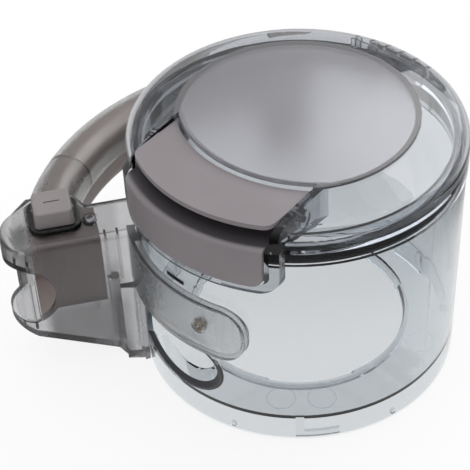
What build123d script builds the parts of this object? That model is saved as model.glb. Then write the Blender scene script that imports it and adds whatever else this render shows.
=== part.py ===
"""Cyclone dust bin of a vacuum cleaner: clear bin, hinged lid with latch, side handle with release button.

Millimetres. The origin is the centre of the bin's bottom rim and +Z is the bin's axis.
The latch faces -Y, the lid hinge is at +Y and the handle is on the -X side.
"""
import os
from math import asin, cos, degrees, radians, sin, sqrt

from build123d import *

os.makedirs("parts", exist_ok=True)

# Bin body
bin_radius = 80.0
bin_wall = 2.4
bin_height = 113.2
floor_height = 13.4
floor_thickness = 2.2
opening_radius = 54.0
opening_collar_wall = 2.8
opening_collar_drop = 3.6
opening_notch_count = 3
opening_notch_angle = 44.0
opening_notch_depth = 2.4
opening_lead = 1.0
opening_notch_azimuth = -65.5
bayonet_count = 3
bayonet_azimuth = -51.2
bayonet_leg_angle = 3.0
bayonet_foot_angle = 15.7
bayonet_depth = 1.6
bayonet_foot_height = 3.6
bayonet_lift = 0.5
nub_count = 6
nub_azimuth = -74.8
nub_angle = 1.6
nub_height = 2.6

# Inlet, a round duct that enters along the wall
inlet_inset = 9.5
inlet_height = 34.0
inlet_radius = 17.4
inlet_collar_wall = 1.8
inlet_collar_depth = 7.0
inlet_seal_wall = 1.2
inlet_seal_depth = 3.0
inlet_start = 6.0

# Fill mark on the wall
fill_azimuth = -98.7
fill_angle = 7.9
fill_height = 84.6
fill_width = 2.0
fill_thickness = 0.4

# Lid
seam_gap = 0.4
lid_overhang = 0.6
lid_wall = 2.2
lid_rim_height = 12.6
shoulder_inset = 5.1
shoulder_rise = 7.2
slope_height = 24.2
disc_radius = 57.5
disc_wall = 2.2
disc_step = 0.7
disc_crown = 2.5
disc_seat_depth = 1.2
disc_seat_width = 3.0
disc_fit = 0.2
seal_ledge_height = 6.0
seal_ledge_thickness = 2.2
seal_ledge_width = 5.6
seal_skirt_wall = 1.6
seal_skirt_drop = 9.0
seal_skirt_rise = 4.2
seal_fit = 0.2
seal_bin_gap = 0.35
seal_height = 6.6
seal_groove = 0.8

# Latch
latch_half_width = 41.0
latch_side_gap = 0.6
latch_end_gap = 1.6
pocket_reach = 30.1
pocket_arc_radius = 67.0
pocket_wall = 2.2
plate_drop = 1.9
plate_fall = 1.7
plate_inset = 2.0
plate_trim = 4.0
plate_thickness = 2.4
plate_corner = 7.0
web_set_back = 15.8
web_thickness = 2.2
hollow_floor_gap = 1.2
hollow_floor_thickness = 2.0
band_gap = 1.4
band_thickness = 2.2
band_drop = 10.6
band_corner = 5.0
hollow_round = 5.0
band_round = 3.0
hook_depth = 1.4
hook_height = 3.2
hook_tip = 0.4
catch_clear = 0.45
catch_gap = 0.38
catch_flat = 0.8
catch_back = 1.6
catch_half_width = 16.0
pivot_inset = 1.07
pivot_rise = 15.9
pivot_boss_radius = 3.3
pivot_boss_length = 3.7
pivot_pin_radius = 1.5
pivot_pin_length = 11.2
pivot_pin_inset = 0.4
pivot_seat_radius = 4.0
pivot_seat_length = 4.4
running_fit = 0.05
apron_gap = 0.4
apron_thickness = 3.2
apron_side = 5.7
apron_bottom = 3.4
apron_corner = 9.0
latch_spring_wire = 0.3
latch_spring_radius = 1.95
latch_spring_pitch = 0.62
latch_spring_turns = 3.25
latch_spring_leg = 2.0
latch_spring_foot = 7.6

# Lid hinge
hinge_reach = 6.0
knuckle_radius = 4.0
knuckle_half_length = 14.0
knuckle_end_length = 8.6
knuckle_gap = 0.4
gusset_height = 15.0
hinge_pin_radius = 1.5
hinge_head_radius = 2.4
hinge_head_length = 1.0
hinge_box_inset = 11.8
hinge_box_half_width = 21.5
hinge_box_wall = 1.5
hinge_box_pitch = 8.6
hinge_box_count = 6

# Handle
front_azimuth = -125.5
hand_gap = 32.0
grip_depth = 24.0
grip_height = 34.0
grip_round = 11.0
grip_top = 82.0
skin_wall = 2.0
skin_fit = 0.2
skin_seam_azimuth = -158.5
skin_seam_gap = 0.3
skin_bury = 17.0
core_bury = 14.0
rear_bury = 10.5
wall_gap = 0.3
rear_depth = 26.0
rear_corner = 10.0
rear_screw_height = 57.0
rear_screw_first = 4.5
rear_screw_second = 14.0

# Front housing, measured outwards from the bin wall and inwards from its front face
housing_wall = 2.2
housing_depth = 28.3
housing_pad_depth = 40.0
housing_pad_start = 20.5
housing_pad_reach = 27.0
housing_pad_inset = 6.0
nose_front = 54.0
nose_tip = 65.0
nose_middle = 14.0
nose_back = 30.0
nose_back_reach = 58.5
housing_toe = 6.4
housing_toe_reach = 14.7
housing_slope = 0.46
foot_height = 0.6
foot_reach = 11.0
foot_pad_near = 5.5
foot_pad_far = 3.0
foot_pad_top = 50.0
housing_round = 4.0
scoop_reach = 59.5
scoop_height = 51.0
scoop_radius = 17.0
scoop_depth = 29.0
scoop_liner = 3.0
scoop_liner_reach = 51.5
core_low = 40.0
core_start = 17.5
core_fit = 0.3
nose_rib_pitch = 5.0
nose_rib_thickness = 0.9
nose_rib_count = 3
nose_rib_height = 4.0
housing_rib_count = 2
housing_rib_first = 9.0
housing_rib_pitch = 6.0
housing_rib_thickness = 1.0
housing_rib_depth = 5.0
housing_rib_low = 52.0

# Arm on the bin wall
arm_thickness = 4.0
arm_skin = 2.1
arm_low = 51.5
arm_top = 82.5
arm_end_azimuth = -67.2
arm_screw_azimuth = -84.0
arm_screw_height = 66.0
arm_corner = 13.0
arm_edge = 2.2
arm_rib_count = 4
arm_rib_pitch = 4.2
arm_rib_angle = 0.6
arm_rib_first = -30.0
arm_rib_low = 68.0
arm_rib_top = 76.0
flange_angle = 4.4
flange_thickness = 2.6

# Button and release
button_reach = 37.5
button_set_back = 20.5
button_width = 20.0
button_depth = 19.5
button_rise = 10.0
button_corner = 3.0
button_fit = 0.3
button_taper = 4.0
button_flange = 1.2
button_flange_height = 2.6
button_travel = 4.5
button_round = 1.2
button_line_length = 8.0
button_line_width = 0.9
button_line_depth = 0.6
button_pocket_gap = 0.4
bezel_ring = 2.8
bezel_height = 2.0
bezel_corner = 6.0
bezel_round = 1.2
slide_width = 8.0
slide_low = 30.0
slide_shift = 2.0
slide_hook = 4.0
slide_fit = 0.3
hook_rise = 3.0
spring_radius = 6.6
spring_wire = 0.5
spring_turns = 3
spring_solid = 3.2
spring_end_gap = 0.1
spring_wire_sides = 6

# Screws
screw_radius = 1.5
screw_head_radius = 2.9
screw_head_height = 1.8
screw_head_taper = 18.0
screw_seat_gap = 0.1
screw_hole_fit = 0.15
screw_length = 6.0
insert_radius = 2.6
insert_length = 2.0
boss_radius = 3.8
boss_height = 1.0
post_radius = 3.2
post_reach = 20.6
post_set_back = 14.3
post_low = 58.0
column_radius = 3.0
column_reach = 13.0
column_set_back = 8.0
column_top = 50.0
housing_screw_length = 14.0
screw_recess = 0.6

# Places that follow from the sizes above
bin_bore = bin_radius - bin_wall
inlet_offset = bin_radius - inlet_inset
floor_top = floor_height + floor_thickness
lid_base = bin_height + seam_gap
lid_radius = bin_radius + lid_overhang
lid_bore = lid_radius - lid_wall
shoulder_low = lid_base + lid_rim_height
slope_top = lid_base + slope_height
disc_rim = disc_radius - disc_fit
disc_edge = slope_top + disc_step
disc_top = disc_edge + disc_crown
disc_seat = slope_top - disc_seat_depth
seal_ledge_radius = bin_bore - seal_ledge_width
ledge_low = lid_base + seal_ledge_height
ledge_top = ledge_low + seal_ledge_thickness
pocket_floor = ledge_top
pocket_back = lid_radius - pocket_reach
pocket_arc_y = pocket_arc_radius - pocket_back
pocket_half_width = latch_half_width + latch_side_gap
plate_back = pocket_back + latch_end_gap
plate_top = slope_top - plate_drop
plate_front_top = plate_top - plate_fall
plate_front = lid_radius - plate_inset
hollow_floor = pocket_floor + hollow_floor_gap
band_inner = lid_radius + band_gap
band_outer = band_inner + band_thickness
band_low = lid_base - band_drop
band_top = hollow_floor + hollow_floor_thickness
hook_inner = band_inner - hook_depth
hook_base = band_low + hook_tip
hook_pitch = hook_height / hook_depth
catch_depth = band_inner - catch_clear - bin_radius
catch_low = hook_base + hook_pitch * (bin_radius + catch_gap - hook_inner)
catch_high = hook_base + hook_pitch * (bin_radius + catch_depth + catch_gap - hook_inner)
web_radius = lid_radius - web_set_back
web_outer = web_radius + web_thickness
pivot_boss_x = latch_half_width - pivot_boss_length / 2
pivot_y = -sqrt((web_radius - pivot_inset) ** 2 - pivot_boss_x ** 2)
pivot_height = lid_base + pivot_rise
apron_inner = bin_radius + apron_gap
apron_outer = apron_inner + apron_thickness
window_low = band_low - latch_side_gap
apron_low = window_low - apron_bottom
hinge_y = bin_radius + hinge_reach
hinge_box_y = bin_radius - hinge_box_inset
hinge_z = bin_height
grip_radius = bin_radius + hand_gap + grip_depth / 2
grip_mid = grip_top - grip_height / 2
arm_inner = bin_radius + wall_gap
arm_outer = arm_inner + arm_thickness
rear_azimuth = -front_azimuth
pad_inner_top = arm_top - housing_wall
button_u = bin_radius + button_reach
scoop_u = bin_radius + scoop_reach
collar_low = floor_height - opening_collar_drop
collar_radius = opening_radius + opening_collar_wall
bayonet_inner = bin_bore - bayonet_depth
wall_middle = bin_radius - bin_wall / 2
floor_middle = floor_height + floor_thickness / 2
catch_angle = degrees(asin(catch_half_width / bin_radius))
catch_ridge = bin_radius + catch_depth
catch_outer = catch_ridge + catch_clear
knuckle_near = knuckle_half_length + knuckle_gap
knuckle_far = knuckle_near + knuckle_end_length
wall_root = bin_radius - hinge_reach
skirt_outer = seal_ledge_radius + seal_skirt_wall
skirt_low = ledge_low - seal_skirt_drop
skirt_top = ledge_top + seal_skirt_rise
seal_inner = skirt_outer + seal_fit
seal_outer = bin_bore - seal_bin_gap
seal_top = ledge_low - seal_fit
plate_slope = plate_fall / (plate_front - plate_back)
plate_root = plate_back - plate_trim
plate_root_top = plate_top + plate_slope * plate_trim
plate_under = plate_top - plate_slope * (web_outer - plate_back) - plate_thickness
pin_end = pocket_half_width + pivot_seat_length - pivot_pin_inset
grip_low = grip_top - grip_height
skin_seam_angle = degrees(skin_seam_gap / grip_radius)
skin_end_azimuth = front_azimuth - skin_bury
core_end_azimuth = front_azimuth - core_bury
core_start_azimuth = rear_azimuth + rear_bury
skin_start_azimuth = rear_azimuth + rear_bury
liner_end = bin_radius + scoop_liner_reach
arm_far = arm_end_azimuth + flange_angle
arm_screw_length = bin_wall + wall_gap + insert_length
rear_screw_places = (
    (rear_azimuth + rear_screw_first, rear_screw_height),
    (rear_azimuth + rear_screw_second, rear_screw_height),
)
wall_screw_places = ((arm_screw_azimuth, arm_screw_height),) + rear_screw_places
column_low = housing_toe + housing_wall / 2
screw_seat_height = arm_top - screw_recess
flange_top = pad_inner_top - button_fit
flange_low = flange_top - button_flange_height
hole_width = button_width + 2 * button_fit
hole_depth = button_depth + 2 * button_fit
bezel_width = button_width + 2 * bezel_ring
bezel_depth = button_depth + 2 * bezel_ring
flange_width = button_width + 2 * button_flange
flange_depth = button_depth + 2 * button_flange
pocket_width = flange_width + 2 * button_pocket_gap
pocket_depth = flange_depth + 2 * button_pocket_gap
button_pocket_low = flange_low - button_travel - spring_solid
button_top = arm_top + button_rise
slide_u = button_u - slide_shift


def radial(azimuth):
    """Unit vector that points outwards at an azimuth."""
    return (cos(radians(azimuth)), sin(radians(azimuth)), 0)


def section_plane(azimuth):
    """Upright plane through the bin's axis: x runs outwards, y runs up."""
    return Plane(origin=(0, 0, 0), x_dir=radial(azimuth), z_dir=radial(azimuth - 90))


def plan_plane(azimuth, height):
    """Level plane: x runs outwards at the azimuth, y a quarter turn on from it."""
    return Plane(origin=(0, 0, height), x_dir=radial(azimuth), z_dir=(0, 0, 1))


def wall_plane(azimuth, radius):
    """Upright plane that faces outwards at a radius: x runs along the wall, y runs up."""
    outwards = Vector(*radial(azimuth))
    return Plane(origin=outwards * radius, x_dir=radial(azimuth + 90), z_dir=outwards)


def inlet_run(radius):
    """Round bar on the inlet's axis, from its blind end out past the bin wall."""
    with BuildPart() as run:
        with BuildSketch(section_plane(front_azimuth).offset(-inlet_start)):
            with Locations((inlet_offset, inlet_height)):
                Circle(radius)
        extrude(amount=-bin_radius)
    return run.part


def inlet_tube(outer, inner, reach):
    """Part of the inlet duct that lies between the bin's outer face and a radius inside it."""
    with BuildPart() as tube:
        add(inlet_run(outer))
        add(inlet_run(inner), mode=Mode.SUBTRACT)
        with BuildSketch(Plane.XY):
            Circle(bin_radius)
            Circle(reach, mode=Mode.SUBTRACT)
        extrude(amount=bin_height, mode=Mode.INTERSECT)
    return tube.part


def lid_form(inset, base, crown_inset):
    """Solid form of the lid ring, drawn in by a wall."""
    with BuildPart() as form:
        with BuildSketch(Plane.XZ):
            with BuildLine():
                bottom = Line((0, base), (lid_radius - inset, base))
                rim = Line(bottom @ 1, (lid_radius - inset, shoulder_low))
                shoulder_radius = lid_radius - shoulder_inset - inset / 2
                shoulder_end = (shoulder_radius, shoulder_low + shoulder_rise - inset)
                shoulder = TangentArc(rim @ 1, shoulder_end, tangent=rim % 1)
                slope_end = (disc_radius, slope_top - crown_inset)
                slope = TangentArc(shoulder @ 1, slope_end, tangent=shoulder % 1)
                top = Line(slope @ 1, (0, slope_top - crown_inset))
                Line(top @ 1, bottom @ 0)
            make_face()
        revolve(axis=Axis.Z)
    return form.part


def latch_pocket(grow):
    """Space in the front of the lid for the latch, with a bowed back, grown by a wall."""
    with BuildPart() as pocket:
        with BuildSketch(Plane.XY.offset(pocket_floor - grow)):
            with Locations((0, -lid_radius)):
                Rectangle(2 * (pocket_half_width + grow), 2 * lid_radius)
            with Locations((0, pocket_arc_y)):
                Circle(pocket_arc_radius - grow, mode=Mode.SUBTRACT)
        extrude(amount=2 * lid_radius)
    return pocket.part


def lid_mouth():
    """Opening under the disc, with the wall of the latch pocket left standing."""
    with BuildPart() as mouth:
        with BuildSketch(Plane.XY.offset(ledge_top)):
            Circle(disc_radius - disc_seat_width)
        extrude(amount=slope_height)
        add(latch_pocket(pocket_wall), mode=Mode.SUBTRACT)
    return mouth.part


def coil(centre, direction, radius, wire, pitch, turns, first_leg, last_leg):
    """Spring wire wound round an axis, with a straight leg at each end."""
    with BuildPart() as spring:
        with BuildLine() as path:
            turns_line = Helix(pitch, pitch * turns, radius, center=centre, direction=direction)
            if first_leg > 0:
                Line(turns_line @ 0 - turns_line % 0 * first_leg, turns_line @ 0)
            if last_leg > 0:
                Line(turns_line @ 1, turns_line @ 1 + turns_line % 1 * last_leg)
        line = path.wire()
        with BuildSketch(Plane(origin=line @ 0, z_dir=line % 0)):
            RegularPolygon(wire, spring_wire_sides)
        sweep(path=line, is_frenet=True)
    return spring.part


def housing_form(inset, rounding):
    """Solid form of the front housing, drawn in by a wall. Its bin end runs on into the bin."""
    slope_inset = inset * (1 + housing_slope ** 2) ** 0.5
    toe = bin_radius + housing_toe_reach
    far = bin_radius + 2 * nose_tip
    with BuildPart() as form:
        with BuildSketch(plan_plane(front_azimuth, 0)):
            with BuildLine():
                front = Line((0, -inset), (bin_radius + nose_front, -inset))
                tip = (bin_radius + nose_tip - inset, -nose_middle)
                back = (bin_radius + nose_back_reach - inset, -nose_back)
                nose = ThreePointArc(front @ 1, tip, back)
                pad_far = bin_radius + hand_gap + grip_depth - housing_pad_inset
                pad_end = (pad_far - inset, -(housing_pad_depth - inset))
                pad = Line(nose @ 1, pad_end)
                pad_corner = bin_radius + housing_pad_reach + inset / 2
                pad_back = Line(pad @ 1, (pad_corner, -(housing_pad_depth - inset)))
                cheek_depth = -(housing_depth - inset)
                cheek = Line(pad_back @ 1, (bin_radius + housing_pad_start + inset / 2, cheek_depth))
                back_run = Line(cheek @ 1, (0, cheek_depth))
                Line(back_run @ 1, front @ 0)
            make_face()
        extrude(amount=arm_top - inset)
        with BuildSketch(section_plane(front_azimuth).offset(-housing_depth)):
            with BuildLine():
                far_height = housing_toe + housing_slope * (far - toe)
                Polyline(
                    (0, foot_height + inset),
                    (bin_radius + foot_reach - inset, foot_height + inset),
                    (toe - inset, housing_toe + slope_inset),
                    (far, far_height + slope_inset),
                    (far, arm_top + inset),
                    (0, arm_top + inset),
                    close=True,
                )
            make_face()
        extrude(amount=2 * housing_depth + housing_pad_depth, mode=Mode.INTERSECT)
        fillet(form.faces().sort_by(Axis.Z)[-1].edges(), rounding)
    return form.part


def foot_pad():
    """Wedge on the housing's front face that carries it down to the bin's foot."""
    with BuildPart() as pad:
        with BuildSketch(plan_plane(front_azimuth, foot_height)):
            with BuildLine():
                Polyline(
                    (opening_radius, foot_pad_near),
                    (bin_radius, foot_pad_near),
                    (bin_radius + foot_reach, foot_pad_far),
                    (bin_radius + foot_reach, -housing_wall / 2),
                    (opening_radius, -housing_wall / 2),
                    close=True,
                )
            make_face()
        extrude(amount=foot_pad_top - foot_height)
    return pad.part


def housing_ribs():
    """Upright ribs behind the housing's front face, between the bin and the handle's core."""
    with BuildPart() as ribs:
        with BuildSketch(plan_plane(front_azimuth, housing_rib_low)):
            for turn in range(housing_rib_count):
                with Locations((bin_radius + housing_rib_first + housing_rib_pitch * turn, -housing_wall / 2)):
                    Rectangle(housing_rib_thickness, housing_rib_depth, align=(Align.CENTER, Align.MAX))
        extrude(amount=pad_inner_top + housing_wall / 2 - housing_rib_low)
    return ribs.part


def scoop(radius, depth):
    """Round cut across the nose of the front housing."""
    with BuildPart() as cut:
        with BuildSketch(section_plane(front_azimuth).offset(-housing_wall)):
            with Locations((scoop_u, scoop_height)):
                Circle(radius)
        extrude(amount=depth + housing_wall)
    return cut.part


def bow_run(profile, start, end):
    """Sweep a section round the bin's axis from one azimuth to another."""
    with BuildPart() as run:
        with BuildSketch(section_plane(start)):
            add(profile)
        revolve(axis=Axis.Z, revolution_arc=(end - start) % 360)
    return run.part


def grip_oval(inset):
    """Section of the bow, drawn in by a wall."""
    with BuildSketch() as oval:
        with Locations((grip_radius, grip_mid)):
            RectangleRounded(grip_depth - 2 * inset, grip_height - 2 * inset, grip_round - inset)
    return oval.sketch


def skin_profile():
    """Clear upper skin of the bow."""
    with BuildSketch() as skin:
        add(grip_oval(0))
        add(grip_oval(skin_wall), mode=Mode.SUBTRACT)
        with Locations((grip_radius, grip_mid - grip_height / 2)):
            Rectangle(2 * grip_depth, grip_height, mode=Mode.SUBTRACT)
    return skin.sketch


def core_profile(grow):
    """Lower half of the bow and the core under its skin, grown by a clearance."""
    with BuildSketch() as core:
        add(grip_oval(-grow))
        with Locations((grip_radius, grip_mid + grip_height / 2 - skin_fit / 2 + grow)):
            Rectangle(2 * grip_depth, grip_height, mode=Mode.SUBTRACT)
        add(grip_oval(skin_wall + skin_fit - grow))
    return core.sketch


def rear_form(inset, low, high):
    """Rear end of the handle between two heights: a slab from the bow to the bin wall."""
    outer = bin_radius + hand_gap + grip_depth - inset
    with BuildPart() as form:
        with BuildSketch(plan_plane(rear_azimuth, low)):
            with BuildLine():
                front = Line((0, inset), (outer - rear_corner, inset))
                corner = TangentArc(front @ 1, (outer, inset + rear_corner), tangent=front % 1)
                side = Line(corner @ 1, (outer, rear_depth - inset))
                back = Line(side @ 1, (0, rear_depth - inset))
                Line(back @ 1, front @ 0)
            make_face()
        extrude(amount=high - low)
    return form.part


def wall_sector(inner, outer, start, end, low, high):
    """Strip of wall between two azimuths and two heights."""
    with BuildPart() as strip:
        with BuildSketch(section_plane(start)):
            with Locations(((inner + outer) / 2, (low + high) / 2)):
                Rectangle(outer - inner, high - low)
        revolve(axis=Axis.Z, revolution_arc=(end - start) % 360)
    return strip.part


def arm_outline(inset):
    """Outline of the arm's end, seen square on at its screw, as a block through the wall."""
    end = arm_outer * sin(radians(arm_end_azimuth - arm_screw_azimuth)) - inset
    length = arm_outer + end
    with BuildPart() as block:
        with BuildSketch(wall_plane(arm_screw_azimuth, 0)):
            with Locations((end - length / 2, (arm_low + arm_top) / 2)):
                RectangleRounded(length, arm_top - arm_low - 2 * inset, arm_corner - inset)
        extrude(amount=2 * bin_radius)
    return block.part


def screw(base, length):
    """Pan head screw: its head stands on the base plane and its shank runs down from it."""
    with BuildPart() as body:
        with BuildSketch(base):
            Circle(screw_head_radius)
        extrude(amount=screw_head_height, taper=screw_head_taper)
        with BuildSketch(base):
            Circle(screw_radius)
        extrude(amount=-length)
    return body.part


def apron():
    """Clear frame round the latch that hangs from the front of the lid."""
    half_width = pocket_half_width + apron_side
    tall = 2 * lid_radius
    catch_angle = degrees(asin((catch_half_width + apron_side) / bin_radius))
    with BuildPart() as frame:
        with BuildSketch(Plane.XZ):
            with BuildLine():
                Polyline(
                    (apron_inner, apron_low),
                    (apron_outer, apron_low),
                    (apron_outer, shoulder_low - apron_thickness),
                    (lid_radius, shoulder_low),
                    (lid_bore, shoulder_low),
                    (lid_bore, lid_base),
                    (apron_inner, lid_base),
                    close=True,
                )
            make_face()
        revolve(axis=Axis.Z)
        with BuildSketch(Plane.XZ):
            with Locations((0, apron_low + tall / 2)):
                RectangleRounded(2 * half_width, tall, apron_corner)
        extrude(amount=tall, mode=Mode.INTERSECT)
        with BuildSketch(Plane.XZ):
            with Locations((0, window_low + tall / 2)):
                RectangleRounded(2 * pocket_half_width, tall, band_corner)
        extrude(amount=tall, mode=Mode.SUBTRACT)
        start = -90 - catch_angle
        path = wall_sector(bin_radius, catch_outer, start, -90 + catch_angle, apron_low, window_low)
        add(path, mode=Mode.SUBTRACT)
    return frame.part


def lid_space():
    """Hollow of the lid, with the walls of the latch pocket and of the hinge box left standing."""
    with BuildPart() as space:
        add(lid_form(lid_wall, lid_base - lid_wall, disc_seat_depth + lid_wall))
        add(latch_pocket(pocket_wall), mode=Mode.SUBTRACT)
        with BuildSketch(Plane.XY.offset(ledge_top)):
            with Locations((0, hinge_box_y)):
                Rectangle(2 * hinge_box_half_width, hinge_box_wall)
            with Locations((0, hinge_box_y + hinge_box_wall + bin_wall)):
                with GridLocations(hinge_box_pitch, 0, hinge_box_count, 1):
                    Rectangle(hinge_box_wall, hinge_box_y / 2, align=(Align.CENTER, Align.MIN))
        extrude(amount=slope_height, mode=Mode.SUBTRACT)
    return space.part


def pin_circle(start, radius, length):
    """Round bar across the latch pocket on the latch's pivot axis."""
    with BuildPart() as bar:
        with BuildSketch(Plane.YZ.offset(start)):
            with Locations((pivot_y, pivot_height)):
                Circle(radius)
        extrude(amount=length)
    return bar.part


def hinge_bar(start, radius, length):
    """Round bar on the lid's hinge axis."""
    with BuildPart() as bar:
        with BuildSketch(Plane.YZ.offset(start)):
            with Locations((hinge_y, hinge_z)):
                Circle(radius)
        extrude(amount=length)
    return bar.part


def tower(reach, set_back, radius, low, high):
    """Round upright bar in the front housing."""
    with BuildPart() as bar:
        with BuildSketch(plan_plane(front_azimuth, low)):
            with Locations((bin_radius + reach, -set_back)):
                Circle(radius)
        extrude(amount=high - low)
    return bar.part


def button_prism(width, depth, corner, low, high, taper):
    """Upright prism with round corners on the button's axis."""
    with BuildPart() as prism:
        with BuildSketch(plan_plane(front_azimuth, low)):
            with Locations((button_u, -button_set_back)):
                RectangleRounded(width, depth, corner)
        extrude(amount=high - low, taper=taper)
    return prism.part


def slide_prism(width, depth, shift, low, high):
    """Upright prism on the release slide's axis."""
    with BuildPart() as prism:
        with BuildSketch(plan_plane(front_azimuth, low)):
            with Locations((slide_u - shift, -button_set_back)):
                Rectangle(width, depth)
        extrude(amount=high - low)
    return prism.part


def bin_space():
    """Round space that the bin's outer wall fills, with the gap round it."""
    with BuildPart() as space:
        with BuildSketch(Plane.XY.offset(-bin_wall)):
            Circle(arm_inner)
        extrude(amount=bin_height)
    return space.part


def nose_only(form):
    """Part of a form that lies outside the liner's outer end."""
    with BuildPart() as nose:
        add(form)
        with BuildSketch(plan_plane(front_azimuth, 0)):
            with Locations((liner_end, -housing_depth)):
                Rectangle(2 * nose_tip, 3 * housing_depth, align=(Align.MIN, Align.CENTER))
        extrude(amount=arm_top, mode=Mode.INTERSECT)
    return nose.part


def nose_ribs():
    """Ribs that stand on the scoop's wall inside the nose."""
    with BuildPart() as ribs:
        add(scoop(scoop_radius + housing_wall + nose_rib_height, scoop_depth))
        with BuildSketch(plan_plane(front_azimuth, 0)):
            with Locations((liner_end + nose_rib_pitch * nose_rib_count / 2, -scoop_depth / 2)):
                with GridLocations(nose_rib_pitch, 0, nose_rib_count, 1):
                    Rectangle(nose_rib_thickness, scoop_depth)
        extrude(amount=arm_top, mode=Mode.INTERSECT)
    return ribs.part


def screw_seat(azimuth, height):
    """Plane just inside the bin wall that faces the bin's axis."""
    inwards = radial(azimuth + 180)
    place = Vector(*radial(azimuth)) * (bin_bore - screw_seat_gap) + Vector(0, 0, height)
    return Plane(origin=place, z_dir=inwards)


with BuildPart() as bin_body:
    with BuildSketch(Plane.XZ):
        with BuildLine():
            Polyline(
                (bin_bore, 0),
                (bin_radius, 0),
                (bin_radius, bin_height),
                (bin_bore, bin_height),
                (bin_bore, floor_top),
                (opening_radius + opening_lead, floor_top),
                (opening_radius, floor_height),
                (opening_radius, collar_low),
                (collar_radius, collar_low),
                (collar_radius, floor_height),
                (bin_bore, floor_height),
                close=True,
            )
        make_face()
    revolve(axis=Axis.Z)
    for turn in range(opening_notch_count):
        start = opening_notch_azimuth + 360 * turn / opening_notch_count
        notch_inner = opening_radius - opening_notch_depth
        notch_outer = opening_radius + opening_notch_depth
        end = start + opening_notch_angle
        add(wall_sector(notch_inner, notch_outer, start, end, floor_height, floor_top), mode=Mode.SUBTRACT)
    for turn in range(bayonet_count):
        start = bayonet_azimuth + 360 * turn / bayonet_count
        foot_top = bayonet_lift + bayonet_foot_height
        leg_end = start + bayonet_leg_angle
        foot_end = start + bayonet_foot_angle
        add(wall_sector(bayonet_inner, wall_middle, start, leg_end, bayonet_lift, floor_middle))
        add(wall_sector(bayonet_inner, wall_middle, start, foot_end, bayonet_lift, foot_top))
    for turn in range(nub_count):
        start = nub_azimuth + 360 * turn / nub_count
        nub_top = bayonet_lift + nub_height
        add(wall_sector(bayonet_inner, wall_middle, start, start + nub_angle, bayonet_lift, nub_top))
    with BuildSketch(section_plane(-90 - catch_angle)):
        with BuildLine():
            Polyline(
                (wall_middle, catch_low),
                (bin_radius, catch_low),
                (catch_ridge, catch_high),
                (catch_ridge, catch_high + catch_flat),
                (bin_radius, catch_high + catch_flat + catch_back),
                (wall_middle, catch_high + catch_flat + catch_back),
                close=True,
            )
        make_face()
    revolve(axis=Axis.Z, revolution_arc=2 * catch_angle)
    for start in (-knuckle_far, knuckle_near):
        with BuildSketch(Plane.YZ.offset(start)):
            with Locations((hinge_y, hinge_z)):
                Circle(knuckle_radius)
            with BuildLine():
                Polyline(
                    (wall_root, hinge_z - gusset_height),
                    (hinge_y + knuckle_radius, hinge_z),
                    (wall_root, hinge_z),
                    close=True,
                )
            make_face()
        extrude(amount=knuckle_end_length)
    add(hinge_bar(-knuckle_far, hinge_pin_radius, 2 * knuckle_far), mode=Mode.SUBTRACT)
    with BuildSketch(Plane.XY.offset(floor_top)):
        Circle(bin_bore)
    extrude(amount=bin_height, mode=Mode.SUBTRACT)
    add(inlet_run(inlet_radius), mode=Mode.SUBTRACT)
    add(inlet_tube(inlet_radius + inlet_collar_wall, inlet_radius, bin_bore - inlet_collar_depth))
    for azimuth, height in wall_screw_places:
        with BuildSketch(wall_plane(azimuth, opening_radius)):
            with Locations((0, height)):
                Circle(screw_radius + screw_hole_fit)
        extrude(amount=bin_radius, mode=Mode.SUBTRACT)
bin_body.part.label = "bin_body"
export_step(bin_body.part, "parts/bin_body.step")

with BuildPart() as inlet_seal:
    add(inlet_tube(inlet_radius, inlet_radius - inlet_seal_wall, bin_radius - inlet_seal_depth))
inlet_seal.part.label = "inlet_seal"
export_step(inlet_seal.part, "parts/inlet_seal.step")

with BuildPart() as fill_mark:
    fill_end = fill_azimuth + fill_angle
    fill_outer = bin_radius + fill_thickness
    add(wall_sector(bin_radius, fill_outer, fill_azimuth, fill_end, fill_height, fill_height + fill_width))
fill_mark.part.label = "fill_mark"
export_step(fill_mark.part, "parts/fill_mark.step")

with BuildPart() as lid_shell:
    add(lid_form(0, lid_base, 0))
    with BuildSketch(Plane.YZ.offset(-knuckle_half_length)):
        with Locations((hinge_y, hinge_z)):
            Circle(knuckle_radius)
        with BuildLine():
            Polyline(
                (lid_bore, lid_base),
                (hinge_y + knuckle_radius, lid_base),
                (lid_bore, shoulder_low),
                close=True,
            )
        make_face()
    extrude(amount=2 * knuckle_half_length)
    add(lid_space(), mode=Mode.SUBTRACT)
    with BuildSketch(Plane.XZ):
        with BuildLine():
            Polyline(
                (seal_ledge_radius, skirt_low),
                (seal_ledge_radius, skirt_top),
                (skirt_outer, skirt_top),
                (skirt_outer, ledge_top),
                (lid_bore + lid_wall / 2, ledge_top),
                (lid_bore + lid_wall / 2, ledge_low),
                (skirt_outer, ledge_low),
                (skirt_outer, skirt_low),
                close=True,
            )
        make_face()
    revolve(axis=Axis.Z)
    add(apron())
    add(latch_pocket(0), mode=Mode.SUBTRACT)
    for start in (-pocket_half_width - pivot_seat_length, pocket_half_width):
        add(pin_circle(start, pivot_seat_radius, pivot_seat_length))
    for start in (-pin_end, pin_end - pivot_pin_length):
        add(pin_circle(start, pivot_pin_radius, pivot_pin_length), mode=Mode.SUBTRACT)
    hinge_bore = hinge_pin_radius + running_fit
    add(hinge_bar(-knuckle_half_length, hinge_bore, 2 * knuckle_half_length), mode=Mode.SUBTRACT)
    with BuildSketch(Plane.XY.offset(disc_seat)):
        Circle(disc_radius)
    extrude(amount=slope_height, mode=Mode.SUBTRACT)
    add(lid_mouth(), mode=Mode.SUBTRACT)
lid_shell.part.label = "lid_shell"
export_step(lid_shell.part, "parts/lid_shell.step")

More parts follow.
